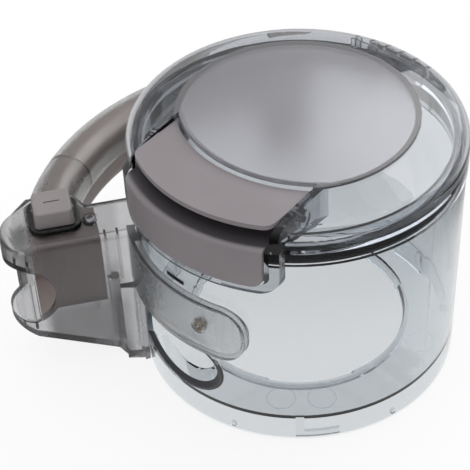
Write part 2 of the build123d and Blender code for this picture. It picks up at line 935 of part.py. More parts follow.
with BuildPart() as lid_disc:
    with BuildSketch(Plane.XZ):
        with BuildLine():
            crown = TangentArc((0, disc_top), (disc_rim, disc_edge), tangent=(1, 0))
            edge = Line(crown @ 1, (disc_rim, disc_seat))
            seat = Line(edge @ 1, (disc_radius - disc_seat_width, disc_seat))
            under = TangentArc((0, disc_top - disc_wall), seat @ 1, tangent=(1, 0))
            Line(under @ 0, crown @ 0)
        make_face()
    revolve(axis=Axis.Z)
    add(latch_pocket(0), mode=Mode.SUBTRACT)
lid_disc.part.label = "lid_disc"
export_step(lid_disc.part, "parts/lid_disc.step")

with BuildPart() as lid_seal:
    with BuildSketch(Plane.XZ):
        with BuildLine():
            Polyline(
                (seal_inner, seal_top),
                (seal_outer, seal_top),
                (seal_outer, seal_top - seal_height / 3),
                (seal_outer - seal_groove, seal_top - seal_height / 2),
                (seal_outer, seal_top - 2 * seal_height / 3),
                (seal_outer - seal_groove, seal_top - seal_height),
                (seal_inner, seal_top - seal_height),
                close=True,
            )
        make_face()
    revolve(axis=Axis.Z)
lid_seal.part.label = "lid_seal"
export_step(lid_seal.part, "parts/lid_seal.step")

with BuildPart() as latch_lever:
    with BuildSketch(Plane.XZ):
        with BuildLine():
            outline = Polyline(
                (web_outer, band_top + hollow_round),
                (web_outer, plate_under),
                (plate_front, plate_front_top - plate_thickness),
                (plate_front, plate_front_top),
                (plate_root, plate_root_top),
                (plate_root, plate_root_top - plate_thickness),
                (web_radius, plate_under),
                (web_radius, hollow_floor),
                (band_inner, hollow_floor),
                (band_inner, hook_base + hook_height),
                (hook_inner, hook_base),
                (hook_inner, band_low),
                (band_outer, band_low),
                (band_outer, band_top - band_round),
            )
            top_round = TangentArc(outline @ 1, (band_outer - band_round, band_top), tangent=(0, 1))
            floor_run = Line(top_round @ 1, (web_outer + hollow_round, band_top))
            TangentArc(floor_run @ 1, outline @ 0, tangent=(-1, 0))
        make_face()
    revolve(axis=Axis.Z)
    with BuildSketch(Plane.XZ):
        with Locations((0, band_low + lid_radius)):
            RectangleRounded(2 * latch_half_width, 2 * lid_radius, band_corner)
    extrude(amount=2 * lid_radius, mode=Mode.INTERSECT)
    upright = latch_lever.edges().filter_by(Axis.Z)
    front_corners = upright.filter_by_position(Axis.Z, band_top + hollow_round, plate_top)
    fillet(front_corners.sort_by(Axis.Y)[:2], plate_corner)
    with BuildSketch(Plane.XY.offset(band_top)):
        with Locations((0, pocket_arc_y)):
            Circle(pocket_arc_radius + latch_end_gap)
    extrude(amount=lid_radius, mode=Mode.SUBTRACT)
    for start in (-latch_half_width, latch_half_width - pivot_boss_length):
        add(pin_circle(start, pivot_boss_radius, pivot_boss_length))
    for start in (-pin_end, pin_end - pivot_pin_length):
        add(pin_circle(start, pivot_pin_radius + running_fit, pivot_pin_length), mode=Mode.SUBTRACT)
latch_lever.part.label = "latch_lever"
export_step(latch_lever.part, "parts/latch_lever.step")

with BuildPart() as latch_pins:
    for start in (-pin_end, pin_end - pivot_pin_length):
        add(pin_circle(start, pivot_pin_radius, pivot_pin_length))
latch_pins.part.label = "latch_pins"
export_step(latch_pins.part, "parts/latch_pins.step")

latch_coil_place = (pin_end - pivot_pin_length + latch_spring_wire, pivot_y, pivot_height)
with BuildPart() as latch_spring:
    add(
        coil(
            latch_coil_place,
            (1, 0, 0),
            latch_spring_radius,
            latch_spring_wire,
            latch_spring_pitch,
            latch_spring_turns,
            latch_spring_leg,
            latch_spring_foot,
        )
    )
latch_spring.part.label = "latch_spring"
export_step(latch_spring.part, "parts/latch_spring.step")

with BuildPart() as hinge_pin:
    add(hinge_bar(-knuckle_far, hinge_pin_radius, 2 * knuckle_far))
    for start in (-knuckle_far - hinge_head_length, knuckle_far):
        add(hinge_bar(start, hinge_head_radius, hinge_head_length))
hinge_pin.part.label = "hinge_pin"
export_step(hinge_pin.part, "parts/hinge_pin.step")

housing_outer = housing_form(0, housing_round)
housing_inner = housing_form(housing_wall, housing_round - housing_wall)
with BuildPart() as housing_space:
    add(housing_inner)
    add(nose_only(scoop(scoop_radius + housing_wall, scoop_depth + housing_wall)), mode=Mode.SUBTRACT)
    add(nose_only(nose_ribs()), mode=Mode.SUBTRACT)

with BuildPart() as arm_block:
    add(wall_sector(arm_inner, arm_outer, front_azimuth - flange_angle, arm_far, arm_low, arm_top))
    add(arm_outline(0), mode=Mode.INTERSECT)
with BuildPart() as arm_hollow:
    arm_start = front_azimuth + flange_angle
    add(wall_sector(arm_inner - arm_skin, arm_outer - arm_skin, arm_start, arm_far, arm_low, arm_top))
    add(arm_outline(arm_edge), mode=Mode.INTERSECT)
    for turn in range(arm_rib_count):
        rib_start = arm_screw_azimuth + arm_rib_first + arm_rib_pitch * turn
        rib_end = rib_start + arm_rib_angle
        rib = wall_sector(arm_inner - arm_skin, arm_outer, rib_start, rib_end, arm_rib_low, arm_rib_top)
        add(rib, mode=Mode.SUBTRACT)
    with BuildSketch(wall_plane(arm_screw_azimuth, opening_radius)):
        with Locations((0, arm_screw_height)):
            Circle(boss_radius)
    extrude(amount=bin_radius, mode=Mode.SUBTRACT)

with BuildPart() as front_housing:
    add(housing_outer)
    add(bow_run(skin_profile(), skin_seam_azimuth + skin_seam_angle, skin_end_azimuth))
    add(housing_space.part, mode=Mode.SUBTRACT)
    add(scoop(scoop_radius, scoop_depth), mode=Mode.SUBTRACT)
    add(bow_run(core_profile(skin_fit), skin_seam_azimuth, core_end_azimuth), mode=Mode.SUBTRACT)
    flange_outer = arm_inner + flange_thickness
    add(wall_sector(arm_inner, flange_outer, front_azimuth - flange_angle, arm_start, foot_height, arm_top))
    add(arm_block.part)
    add(arm_hollow.part, mode=Mode.SUBTRACT)
    add(foot_pad())
    add(housing_ribs())
    add(tower(post_reach, post_set_back, post_radius, post_low, pad_inner_top + housing_wall / 2))
    add(tower(post_reach, post_set_back, boss_radius, pad_inner_top, arm_top + boss_height))
    add(tower(column_reach, column_set_back, column_radius, column_low, column_top))
    recess_radius = screw_head_radius + core_fit
    recess_top = arm_top + 2 * boss_height
    add(tower(post_reach, post_set_back, recess_radius, screw_seat_height, recess_top), mode=Mode.SUBTRACT)
    post_bore = screw_radius + screw_hole_fit
    add(tower(post_reach, post_set_back, post_bore, post_low, arm_top), mode=Mode.SUBTRACT)
    button_hole = button_prism(hole_width, hole_depth, button_corner, flange_top, arm_top, 0)
    add(button_hole, mode=Mode.SUBTRACT)
    with BuildSketch(wall_plane(arm_screw_azimuth, opening_radius)):
        with Locations((0, arm_screw_height)):
            Circle(insert_radius)
    extrude(amount=arm_inner + insert_length - opening_radius, mode=Mode.SUBTRACT)
    add(bin_space(), mode=Mode.SUBTRACT)
front_housing.part.label = "front_housing"
export_step(front_housing.part, "parts/front_housing.step")

with BuildPart() as arm_insert:
    with BuildSketch(wall_plane(arm_screw_azimuth, arm_inner)):
        with Locations((0, arm_screw_height)):
            Circle(insert_radius)
            Circle(screw_radius + screw_hole_fit, mode=Mode.SUBTRACT)
    extrude(amount=insert_length)
    add(bin_space(), mode=Mode.SUBTRACT)
arm_insert.part.label = "arm_insert"
export_step(arm_insert.part, "parts/arm_insert.step")

rear_cover = rear_form(0, grip_mid, grip_top)
with BuildPart() as grip_cover:
    add(rear_cover)
    fillet(grip_cover.faces().sort_by(Axis.Z)[-1].edges(), housing_round)
    add(bow_run(skin_profile(), skin_start_azimuth, skin_seam_azimuth))
    add(rear_form(skin_wall, grip_mid - skin_wall, grip_top - skin_wall), mode=Mode.SUBTRACT)
    add(bow_run(core_profile(skin_fit), core_start_azimuth, skin_seam_azimuth), mode=Mode.SUBTRACT)
    add(bin_space(), mode=Mode.SUBTRACT)
grip_cover.part.label = "grip_cover"
export_step(grip_cover.part, "parts/grip_cover.step")

with BuildPart() as grip_block:
    add(housing_form(housing_wall + core_fit, housing_round - housing_wall))
    with BuildSketch(section_plane(front_azimuth).offset(-housing_depth)):
        with BuildLine():
            Polyline(
                (bin_radius + core_start, core_low),
                (liner_end - core_fit, core_low),
                (liner_end - core_fit, arm_top),
                (bin_radius + core_start, arm_top),
                close=True,
            )
        make_face()
        with Locations((scoop_u, scoop_height)):
            Circle(scoop_radius + scoop_liner)
        with Locations((liner_end - core_fit, scoop_height)):
            Rectangle(nose_tip, arm_top, align=(Align.MIN, Align.CENTER), mode=Mode.SUBTRACT)
    extrude(amount=2 * housing_depth + housing_pad_depth, mode=Mode.INTERSECT)

with BuildPart() as handle_grip:
    add(rear_form(0, grip_low, grip_mid - skin_fit / 2))
    fillet(handle_grip.faces().sort_by(Axis.Z)[0].edges(), housing_round)
    add(rear_form(skin_wall + skin_fit, grip_mid - skin_wall, grip_top - skin_wall - skin_fit))
    add(bow_run(core_profile(0), core_start_azimuth, core_end_azimuth))
    add(grip_block.part)
    nose_gap = housing_wall + core_fit
    add(nose_only(scoop(scoop_radius + nose_gap, scoop_depth + nose_gap)), mode=Mode.SUBTRACT)
    add(scoop(scoop_radius, scoop_depth), mode=Mode.SUBTRACT)
    add(tower(post_reach, post_set_back, boss_radius, core_low, arm_top), mode=Mode.SUBTRACT)
    button_pocket = button_prism(pocket_width, pocket_depth, button_corner, button_pocket_low, arm_top, 0)
    add(button_pocket, mode=Mode.SUBTRACT)
    slide_hole = slide_width + 2 * slide_fit
    add(slide_prism(slide_hole, slide_hole, 0, slide_low, arm_top), mode=Mode.SUBTRACT)
    for azimuth, height in rear_screw_places:
        with BuildSketch(wall_plane(azimuth, opening_radius)):
            with Locations((0, height)):
                Circle(screw_radius + screw_hole_fit)
        extrude(amount=bin_bore + screw_length + bin_wall - opening_radius, mode=Mode.SUBTRACT)
    add(bin_space(), mode=Mode.SUBTRACT)
handle_grip.part.label = "handle_grip"
export_step(handle_grip.part, "parts/handle_grip.step")

with BuildPart() as button_bezel:
    add(button_prism(bezel_width, bezel_depth, bezel_corner, arm_top, arm_top + bezel_height, 0))
    fillet(button_bezel.faces().sort_by(Axis.Z)[-1].edges(), bezel_round)
    bezel_top = arm_top + bezel_height
    add(button_prism(hole_width, hole_depth, button_corner, arm_top, bezel_top, 0), mode=Mode.SUBTRACT)
button_bezel.part.label = "button_bezel"
export_step(button_bezel.part, "parts/button_bezel.step")

with BuildPart() as release_button:
    add(button_prism(button_width, button_depth, button_corner, flange_top, button_top, button_taper))
    fillet(release_button.faces().sort_by(Axis.Z)[-1].edges(), button_round)
    add(button_prism(flange_width, flange_depth, button_corner, flange_low, flange_top, 0))
    with BuildSketch(plan_plane(front_azimuth, button_top)):
        with Locations((button_u, -button_set_back)):
            SlotOverall(button_line_length, button_line_width)
    extrude(amount=-button_line_depth, mode=Mode.SUBTRACT)
release_button.part.label = "release_button"
export_step(release_button.part, "parts/release_button.step")

with BuildPart() as release_slide:
    add(slide_prism(slide_width, slide_width, 0, slide_low, flange_low))
    hook_shift = (slide_width + slide_hook) / 2
    add(slide_prism(slide_hook, slide_width, hook_shift, slide_low, slide_low + hook_rise))
release_slide.part.label = "release_slide"
export_step(release_slide.part, "parts/release_slide.step")

spring_length = flange_low - button_pocket_low - 2 * (spring_wire + spring_end_gap)
spring_base = plan_plane(front_azimuth, button_pocket_low + spring_wire + spring_end_gap)
with BuildPart() as release_spring:
    add(
        coil(
            spring_base.from_local_coords((slide_u, -button_set_back, 0)),
            (0, 0, 1),
            spring_radius,
            spring_wire,
            spring_length / spring_turns,
            spring_turns,
            0,
            0,
        )
    )
release_spring.part.label = "release_spring"
export_step(release_spring.part, "parts/release_spring.step")

screw_place = plan_plane(front_azimuth, screw_seat_height)
with BuildPart() as housing_screw:
    screw_spot = screw_place.from_local_coords((bin_radius + post_reach, -post_set_back, 0))
    add(screw(Plane(origin=screw_spot, z_dir=(0, 0, 1)), housing_screw_length))
housing_screw.part.label = "housing_screw"
export_step(housing_screw.part, "parts/housing_screw.step")

with BuildPart() as wall_screws:
    add(screw(screw_seat(arm_screw_azimuth, arm_screw_height), arm_screw_length))
    for azimuth, height in rear_screw_places:
        add(screw(screw_seat(azimuth, height), screw_length))
wall_screws.part.label = "wall_screws"
export_step(wall_screws.part, "parts/wall_screws.step")
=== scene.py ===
from math import cos, radians, sin

import bmesh
import bpy
from mathutils import Matrix, Vector


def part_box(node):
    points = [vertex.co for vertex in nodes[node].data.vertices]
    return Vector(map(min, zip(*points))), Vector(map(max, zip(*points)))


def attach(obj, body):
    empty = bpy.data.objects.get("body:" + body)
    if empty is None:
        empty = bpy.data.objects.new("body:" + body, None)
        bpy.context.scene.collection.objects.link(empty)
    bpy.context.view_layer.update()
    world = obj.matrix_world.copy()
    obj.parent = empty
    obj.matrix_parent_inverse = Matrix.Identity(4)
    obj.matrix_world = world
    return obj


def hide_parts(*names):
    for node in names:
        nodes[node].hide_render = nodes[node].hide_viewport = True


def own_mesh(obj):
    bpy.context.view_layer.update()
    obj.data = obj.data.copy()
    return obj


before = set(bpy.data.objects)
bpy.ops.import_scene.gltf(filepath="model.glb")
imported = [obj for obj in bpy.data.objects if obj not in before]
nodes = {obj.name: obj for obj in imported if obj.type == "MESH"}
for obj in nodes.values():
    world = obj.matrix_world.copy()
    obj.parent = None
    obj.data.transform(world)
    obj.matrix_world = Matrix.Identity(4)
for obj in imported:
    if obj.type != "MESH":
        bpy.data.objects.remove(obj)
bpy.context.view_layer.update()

# Places on the bin that its finishes and small fittings follow, in metres and degrees.
bin_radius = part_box("bin_body")[1][0]
bin_wall = 0.0024
bin_bore = bin_radius - bin_wall
floor_top = 0.0156
front_azimuth = -125.5
rear_azimuth = 125.5

# Ranges of the housing's frosting and painted low shade, and of the painted shade in the latch's
# hollow.
frost_start = (bin_radius + 0.004, bin_radius + 0.010)
frost_nose_end = (bin_radius + 0.044, bin_radius + 0.051)
frost_sleeve_end = (-0.037, -0.031)
low_shade_heights = (0.036, 0.048)
hollow_shade_lip = (bin_radius + 0.0012, bin_radius + 0.0034)
hollow_shade_roof = (0.1308, 0.1318)

# Screws with a square driver recess, and the azimuth and height of each one in the bin's wall.
# A crown step is a share of the head's height and how far its end draws in.
arm_screw_place = (-84.0, 0.066)
arm_screw_length = 0.0047
rear_screw_places = ((rear_azimuth + 4.5, 0.057), (rear_azimuth + 14.0, 0.057))
rear_screw_length = 0.006
housing_screw_length = 0.014
screw_head_radius = 0.0029
screw_head_height = 0.0018
screw_rim_share = 0.45
screw_crown_steps = ((0.25, 0.93), (0.20, 0.82), (0.10, 0.70))
screw_radius = 0.0015
screw_tip_share = 0.45
screw_seat_gap = 0.0001
screw_sides = 28
screw_smooth_angle = radians(35)
thread_pitch = 0.0011
thread_depth = 0.0003
recess_core = 0.0008
recess_reach = 0.0011
recess_depth = 0.0011
recess_taper = 0.55

# Round marks of the mould's pins on the floor ring, by azimuth.
eject_mark_places = (-57.3, -40.6, 14.8)
eject_mark_reach = 0.067
eject_mark_radius = 0.0070
eject_mark_width = 0.0004
eject_mark_height = 0.00015
eject_mark_gap = 0.00005
eject_mark_sides = 48

# How the modelling picks faces, merges points and smooths the spring.
facing_limit = 0.9
merge_distance = 0.000001
coil_smooth_angle = radians(65)

# Plastics: how they bend light, and how deep the relief of their skins and of the metals is.
clear_bend = 1.49
satin_bend = 1.5
clear_relief = 0.001
satin_relief = 0.0002
metal_relief = 0.0001

# Studio: the camera, the paper with its ranges as distances from the bin's axis, and the room
# with its ranges as parts of a unit direction. A mirrored ray's Glossy Depth is past mirrored_once.
camera_place = (0.34571, -0.41201, 0.53329)
camera_turn = (48.77070, 1.94962, 41.62638)
camera_lens = 109.87
camera_sensor = 36.0
away_from_camera = -Vector((camera_place[0], camera_place[1], 0)).normalized()
mirrored_once = 0.5
paper_size = 14.0
paper_tone = 0.90
paper_dark_tone = 0.12
paper_shade = 0.14
paper_shade_fade = (0.10, 0.30)
paper_near_fade = (0.10, 0.20)
paper_behind_rise = (0.02, 0.20)
paper_behind_level = 0.55
room_wall_level = 0.28
room_ceiling_level = 0.90
room_ceiling_rise = (0.20, 0.95)
room_sweep_level = 0.70
room_sweep_rise = (0.10, 0.50)
room_sweep_fade = (0.15, 0.45)
room_through_level = 0.60


def radial(azimuth):
    """Unit vector that points out from the bin's axis at this azimuth, in degrees."""
    return Vector((cos(radians(azimuth)), sin(radians(azimuth)), 0))


def deselect():
    """Leaves object mode with nothing selected."""
    if bpy.context.mode != "OBJECT":
        bpy.ops.object.mode_set(mode="OBJECT")
    bpy.ops.object.select_all(action="DESELECT")


# Nodes of the finishes. A value given to these helpers is a socket or a fixed value.


def new_group(name, inputs, outputs):
    """An empty shader group, with inputs as (name, kind, default) and outputs as (name, kind)."""
    tree = bpy.data.node_groups.new(name, "ShaderNodeTree")
    for socket, kind, default in inputs:
        made = tree.interface.new_socket(socket, in_out="INPUT", socket_type=kind)
        made.default_value = default
    for socket, kind in outputs:
        tree.interface.new_socket(socket, in_out="OUTPUT", socket_type=kind)
    return tree, tree.nodes.new("NodeGroupInput"), tree.nodes.new("NodeGroupOutput")


def add_node(tree, kind, **settings):
    """A node of this kind, with its settings given by name."""
    made = tree.nodes.new(kind)
    for setting, value in settings.items():
        setattr(made, setting, value)
    return made


def set_inputs(target, **values):
    """Sets a node's inputs by name; an underscore stands for a space."""
    for name, value in values.items():
        target.inputs[name.replace("_", " ")].default_value = value


def feed(tree, value, socket):
    """Links a socket to this socket, or sets it to a fixed value."""
    if isinstance(value, bpy.types.NodeSocket):
        tree.links.new(value, socket)
    else:
        socket.default_value = value


def reckon(tree, operation, *operands, clamp=False):
    """What a Math node makes of its operands."""
    made = add_node(tree, "ShaderNodeMath", operation=operation, use_clamp=clamp)
    for operand, socket in zip(operands, made.inputs):
        feed(tree, operand, socket)
    return made.outputs[0]


def plus(tree, first, second, clamp=False):
    return reckon(tree, "ADD", first, second, clamp=clamp)


def minus(tree, first, second, clamp=False):
    return reckon(tree, "SUBTRACT", first, second, clamp=clamp)


def times(tree, first, second):
    return reckon(tree, "MULTIPLY", first, second)


def larger(tree, first, second):
    return reckon(tree, "MAXIMUM", first, second)


def remap(tree, value, low, high, to_low, to_high):
    """A value taken smoothly from one range to another."""
    made = add_node(tree, "ShaderNodeMapRange", interpolation_type="SMOOTHSTEP")
    feed(tree, value, made.inputs[0])
    for end, socket in zip((low, high, to_low, to_high), made.inputs[1:5]):
        feed(tree, end, socket)
    return made.outputs[0]


def noise(tree, place, scale, detail, stretch=None):
    """Noise over a place, stretched along an axis where the moulding or the drawing went that way."""
    texture = add_node(tree, "ShaderNodeTexNoise")
    feed(tree, detail, texture.inputs["Detail"])
    feed(tree, scale, texture.inputs["Scale"])
    if stretch:
        mapping = add_node(tree, "ShaderNodeMapping")
        feed(tree, stretch, mapping.inputs["Scale"])
        feed(tree, place, mapping.inputs["Vector"])
        place = mapping.outputs[0]
    feed(tree, place, texture.inputs["Vector"])
    return texture.outputs["Fac"]


def along(tree, place, direction):
    """How far a place lies along a direction."""
    made = add_node(tree, "ShaderNodeVectorMath", operation="DOT_PRODUCT")
    feed(tree, place, made.inputs[0])
    feed(tree, direction, made.inputs[1])
    return made.outputs["Value"]


def off_axis(tree, place):
    """How far a place lies from the bin's axis."""
    flat = add_node(tree, "ShaderNodeVectorMath", operation="MULTIPLY")
    feed(tree, place, flat.inputs[0])
    feed(tree, (1, 1, 0), flat.inputs[1])
    reach = add_node(tree, "ShaderNodeVectorMath", operation="LENGTH")
    feed(tree, flat.outputs[0], reach.inputs[0])
    return reach.outputs["Value"]


def upward(tree, vector):
    """A vector's part along Z."""
    made = add_node(tree, "ShaderNodeSeparateXYZ")
    feed(tree, vector, made.inputs[0])
    return made.outputs["Z"]


def blend(tree, share, first, second, way="MIX"):
    """One colour mixed into another by this share."""
    made = add_node(tree, "ShaderNodeMix", data_type="RGBA", blend_type=way)
    feed(tree, share, made.inputs["Factor"])
    feed(tree, first, made.inputs[6])
    feed(tree, second, made.inputs[7])
    return made.outputs[2]


def object_coordinates(tree):
    return add_node(tree, "ShaderNodeTexCoord").outputs["Object"]


# Groups of the finishes. They put out values that change over the surface.


def make_moulded_haze():
    """Clear plastic's skin: streaks of the mould's flow and a slow change of gloss."""
    streak_scale = 180.0
    streak_stretch = (1.0, 1.0, 0.08)
    slow_share = 0.6
    streak_share = 0.4
    hazy_range = (0.30, 0.72)
    streak_height = 0.25
    tree, given, out = new_group(
        "moulded_haze",
        (
            ("Gloss", "NodeSocketFloat", 0.02),
            ("Haze", "NodeSocketFloat", 0.08),
            ("Flow scale", "NodeSocketFloat", 30.0),
        ),
        (("Roughness", "NodeSocketFloat"), ("Height", "NodeSocketFloat")),
    )
    place = object_coordinates(tree)
    slow = noise(tree, place, given.outputs["Flow scale"], 1.0)
    streak = noise(tree, place, streak_scale, 1.0, streak_stretch)
    hazy = plus(tree, times(tree, slow, slow_share), times(tree, streak, streak_share))
    hazy = remap(tree, hazy, *hazy_range, 0.0, 1.0)
    rough = remap(tree, hazy, 0.0, 1.0, given.outputs["Gloss"], given.outputs["Haze"])
    feed(tree, rough, out.inputs["Roughness"])
    feed(tree, plus(tree, slow, times(tree, streak, streak_height)), out.inputs["Height"])
    return tree


def make_frost_zone():
    """The housing's frosting, from past the arm to the nose and the bow's sleeve; painted shade low
    down.
    """
    slow_scale = 55.0
    slow_roughness = 0.22
    streak_scale = 620.0
    streak_stretch = (1.0, 1.0, 0.03)
    streak_roughness = 0.04
    streak_height = 0.6
    middle_roughness = 0.14
    # The low share and low tone paint shade towards the bottom of the frosted zone.
    low_share = 0.58
    low_tone = (0.40, 0.40, 0.41, 1)
    line_range = (0.50, 0.75)
    line_share = 0.22
    line_tone = (0.55, 0.55, 0.57, 1)
    tree, given, out = new_group(
        "frost_zone",
        (
            ("Clear", "NodeSocketFloat", 0.15),
            ("Frosted", "NodeSocketFloat", 0.40),
            ("Clear tint", "NodeSocketColor", (0.8, 0.8, 0.81, 1)),
            ("Frosted tint", "NodeSocketColor", (0.66, 0.66, 0.68, 1)),
            ("Sleeve tint", "NodeSocketColor", (0.985, 0.985, 0.98, 1)),
            ("Outwards", "NodeSocketVector", (1.0, 0.0, 0.0)),
            ("Forwards", "NodeSocketVector", (0.0, 1.0, 0.0)),
        ),
        (("Roughness", "NodeSocketFloat"), ("Color", "NodeSocketColor"), ("Height", "NodeSocketFloat")),
    )
    place = object_coordinates(tree)
    outwards = along(tree, place, given.outputs["Outwards"])
    forwards = along(tree, place, given.outputs["Forwards"])
    box = remap(tree, forwards, *frost_sleeve_end, 0.0, 1.0)
    zone = times(tree, box, remap(tree, outwards, *frost_start, 0.0, 1.0))
    zone = times(tree, zone, remap(tree, outwards, *frost_nose_end, 1.0, 0.0))
    slow = noise(tree, place, slow_scale, 2.0)
    streak = noise(tree, place, streak_scale, 2.0, streak_stretch)

    uneven = plus(tree, times(tree, slow, slow_roughness), times(tree, streak, streak_roughness))
    rough = remap(tree, zone, 0.0, 1.0, given.outputs["Clear"], given.outputs["Frosted"])
    rough = plus(tree, rough, minus(tree, uneven, middle_roughness), clamp=True)
    feed(tree, rough, out.inputs["Roughness"])

    tone = blend(tree, box, given.outputs["Sleeve tint"], given.outputs["Clear tint"])
    tone = blend(tree, zone, tone, given.outputs["Frosted tint"])
    # Painted shade: in the frosted zone the colour darkens towards the bottom.
    low = times(tree, zone, remap(tree, upward(tree, place), *low_shade_heights, low_share, 0.0))
    tone = blend(tree, low, tone, low_tone, "MULTIPLY")
    facing = add_node(tree, "ShaderNodeNewGeometry").outputs["Normal"]
    upright = minus(tree, 1.0, reckon(tree, "ABSOLUTE", upward(tree, facing)), clamp=True)
    upright = times(tree, box, upright)
    lines = times(tree, upright, remap(tree, streak, *line_range, 0.0, line_share))
    feed(tree, blend(tree, lines, tone, line_tone, "MULTIPLY"), out.inputs["Color"])

    ridges = times(tree, times(tree, streak, upright), streak_height)
    feed(tree, plus(tree, ridges, slow), out.inputs["Height"])
    return tree


def make_satin_grain():
    """Satin plastic and rubber: a fine even grain with slow shifts of tone."""
    slow_scale = 26.0
    slow_range = (0.35, 0.70)
    slow_tone = 0.45
    slow_roughness = 0.06
    grain_tone = 0.25
    grain_roughness = 0.10
    middle_roughness = 0.08
    tree, given, out = new_group(
        "satin_grain",
        (
            ("Tone", "NodeSocketColor", (0.25, 0.23, 0.23, 1)),
            ("Worn tone", "NodeSocketColor", (0.3, 0.28, 0.28, 1)),
            ("Grain scale", "NodeSocketFloat", 2400.0),
            ("Satin", "NodeSocketFloat", 0.42),
        ),
        (("Color", "NodeSocketColor"), ("Roughness", "NodeSocketFloat"), ("Height", "NodeSocketFloat")),
    )
    place = object_coordinates(tree)
    slow = remap(tree, noise(tree, place, slow_scale, 3.0), *slow_range, 0.0, 1.0)
    grain = noise(tree, place, given.outputs["Grain scale"], 2.0)
    worn = plus(tree, times(tree, slow, slow_tone), times(tree, grain, grain_tone), clamp=True)
    tone = blend(tree, worn, given.outputs["Tone"], given.outputs["Worn tone"])
    feed(tree, tone, out.inputs["Color"])
    uneven = plus(tree, times(tree, grain, grain_roughness), times(tree, slow, slow_roughness))
    rough = minus(tree, plus(tree, given.outputs["Satin"], uneven), middle_roughness)
    feed(tree, rough, out.inputs["Roughness"])
    feed(tree, grain, out.inputs["Height"])
    return tree


def make_drawn_metal():
    """Drawn or turned metal: fine lines along the piece, a darker film in places."""
    film_scale = 420.0
    film_range = (0.40, 0.66)
    line_scale = 3200.0
    line_stretch = (1.0, 1.0, 0.15)
    line_roughness = 0.2
    tree, given, out = new_group(
        "drawn_metal",
        (
            ("Bright", "NodeSocketColor", (0.6, 0.6, 0.6, 1)),
            ("Film", "NodeSocketColor", (0.3, 0.3, 0.3, 1)),
            ("Polish", "NodeSocketFloat", 0.25),
        ),
        (("Color", "NodeSocketColor"), ("Roughness", "NodeSocketFloat"), ("Height", "NodeSocketFloat")),
    )
    place = object_coordinates(tree)
    film = remap(tree, noise(tree, place, film_scale, 4.0), *film_range, 0.0, 1.0)
    lines = noise(tree, place, line_scale, 2.0, line_stretch)
    feed(tree, blend(tree, film, given.outputs["Bright"], given.outputs["Film"]), out.inputs["Color"])
    rough = plus(tree, given.outputs["Polish"], times(tree, lines, line_roughness))
    feed(tree, rough, out.inputs["Roughness"])
    feed(tree, lines, out.inputs["Height"])
    return tree


moulded_haze = make_moulded_haze()
frost_zone = make_frost_zone()
satin_grain = make_satin_grain()
drawn_metal = make_drawn_metal()


# Materials. Each one keeps its shader and the constants on it.


def new_material(name):
    """A material, its nodes and its Principled shader."""
    made = bpy.data.materials.new(name)
    made.use_nodes = True
    return made, made.node_tree, made.node_tree.nodes["Principled BSDF"]


def placed(tree, group, **values):
    """The group in this material, with its inputs set by name."""
    made = add_node(tree, "ShaderNodeGroup", node_tree=group)
    set_inputs(made, **values)
    return made


def cover(tree, shader, skin, strength, depth):
    """Puts a skin on a shader: its colour where it has one, its roughness and its relief."""
    if "Color" in skin.outputs:
        feed(tree, skin.outputs["Color"], shader.inputs["Base Color"])
    feed(tree, skin.outputs["Roughness"], shader.inputs["Roughness"])
    relief = add_node(tree, "ShaderNodeBump")
    set_inputs(relief, Strength=strength, Distance=depth)
    feed(tree, skin.outputs["Height"], relief.inputs["Height"])
    feed(tree, relief.outputs[0], shader.inputs["Normal"])


def smoke_through(tree, smoke, density):
    """Fills a clear piece with smoke, so that it darkens where it is thick."""
    body = add_node(tree, "ShaderNodeVolumeAbsorption")
    set_inputs(body, Color=smoke + (1,), Density=density)
    feed(tree, body.outputs[0], tree.nodes["Material Output"].inputs["Volume"])


def clear_plastic(name, tint, smoke, density, gloss, haze,
                  flow_scale=30.0, ripple=0.03, clearness=1.0, mirror=0.5):
    """Clear smoked plastic: a tinted skin over a body that darkens where it is thick."""
    made, tree, shader = new_material(name)
    set_inputs(shader, Base_Color=tint + (1,), Transmission_Weight=clearness, IOR=clear_bend)
    set_inputs(shader, Specular_IOR_Level=mirror)
    skin = placed(tree, moulded_haze, Gloss=gloss, Haze=haze, Flow_scale=flow_scale)
    cover(tree, shader, skin, ripple, clear_relief)
    smoke_through(tree, smoke, density)
    return made


def frosted_housing(name, clear_tint, frosted_tint, clear, frosted, smoke, density, ripple):
    """The front moulding: clear along its arm, frosted and darker round the box of the button."""
    made, tree, shader = new_material(name)
    set_inputs(shader, Transmission_Weight=1.0, IOR=clear_bend)
    skin = placed(tree, frost_zone, Clear=clear, Frosted=frosted)
    set_inputs(skin, Clear_tint=clear_tint + (1,), Frosted_tint=frosted_tint + (1,))
    set_inputs(skin, Outwards=radial(front_azimuth), Forwards=radial(front_azimuth + 90))
    cover(tree, shader, skin, ripple, clear_relief)
    smoke_through(tree, smoke, density)
    return made


def satin_plastic(name, tone, worn_tone, satin, grain_scale=2400.0, strength=0.12):
    """Opaque satin plastic or rubber with a fine grain."""
    made, tree, shader = new_material(name)
    set_inputs(shader, IOR=satin_bend)
    skin = placed(tree, satin_grain, Tone=tone + (1,), Worn_tone=worn_tone + (1,))
    set_inputs(skin, Satin=satin, Grain_scale=grain_scale)
    cover(tree, shader, skin, strength, satin_relief)
    return made


def latch_plastic_with_painted_shade(name, tone, worn_tone, hollow_shade_tone, satin):
    """Satin plastic with painted shade in the finger hollow under the latch's plate."""
    made = satin_plastic(name, tone, worn_tone, satin)
    tree = made.node_tree
    color = tree.nodes["Principled BSDF"].inputs["Base Color"]
    place = object_coordinates(tree)
    # Painted shade: inside the lip and under the roof the colour goes to the hollow's dark tone.
    painted_shade = remap(tree, off_axis(tree, place), *hollow_shade_lip, 1.0, 0.0)
    painted_shade = times(tree, painted_shade, remap(tree, upward(tree, place), *hollow_shade_roof, 1.0, 0.0))
    feed(tree, blend(tree, painted_shade, color.links[0].from_socket, hollow_shade_tone + (1,)), color)
    return made


